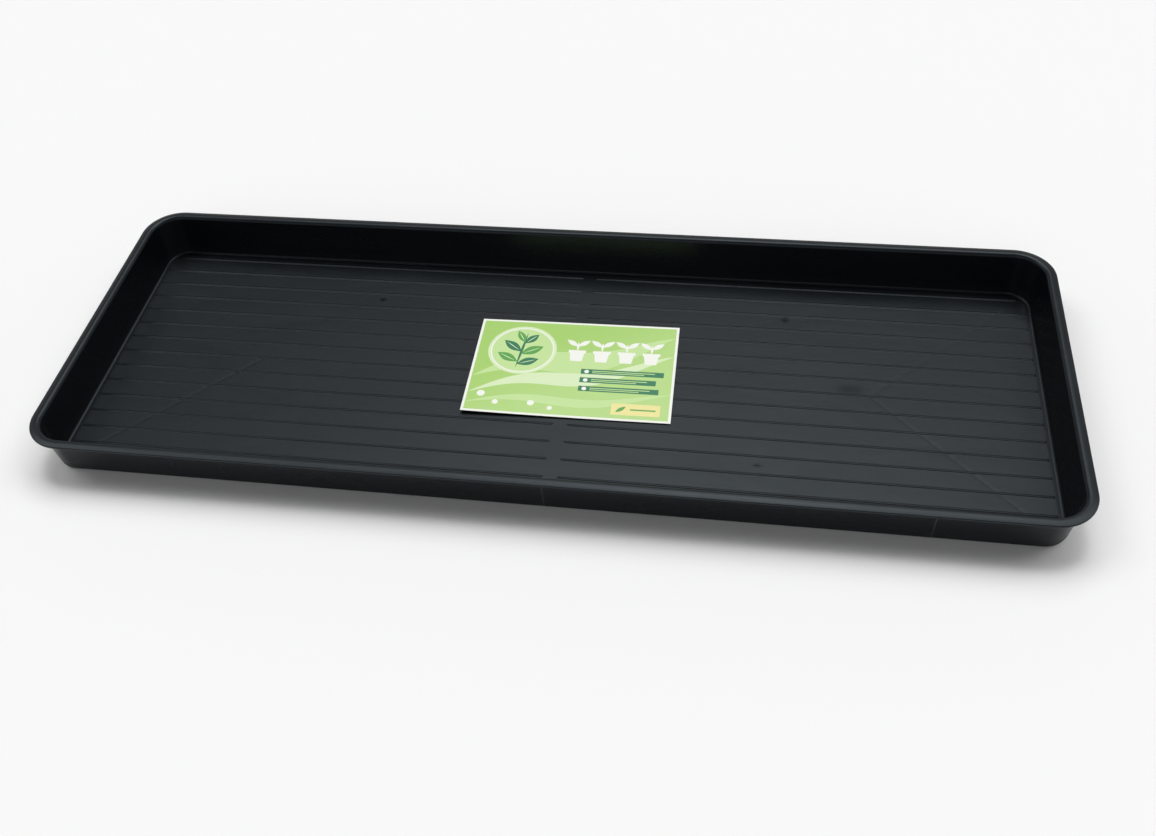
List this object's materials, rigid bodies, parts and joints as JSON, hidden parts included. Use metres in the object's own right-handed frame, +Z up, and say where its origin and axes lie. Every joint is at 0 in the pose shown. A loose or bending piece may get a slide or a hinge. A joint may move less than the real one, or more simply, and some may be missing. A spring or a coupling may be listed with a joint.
{
  "type": "garden watering tray",
  "caption": "Long shallow black plastic watering tray with a rolled rim, rounded corners and a ribbed floor, with its printed sales card glued inside.",
  "frame": {"origin": "middle of the tray on the surface it stands on", "axes": "+X along the tray's long side, +Y across it towards the back, +Z up"},
  "size_m": [1.1, 0.405, 0.055],
  "materials": {
    "tray_plastic": "semi-gloss black recycled polypropylene, as moulded",
    "printed_card": "green print on coated board, low sheen",
    "removable_glue": "clear removable glue, satin"
  },
  "bodies": {
    "root": {"tray": "tray_plastic", "label_card": "printed_card", "glue_spot_back_left": "removable_glue", "glue_spot_back_right": "removable_glue", "glue_spot_front_right": "removable_glue", "glue_spot_front_left": "removable_glue"}
  },
  "joints": []
}
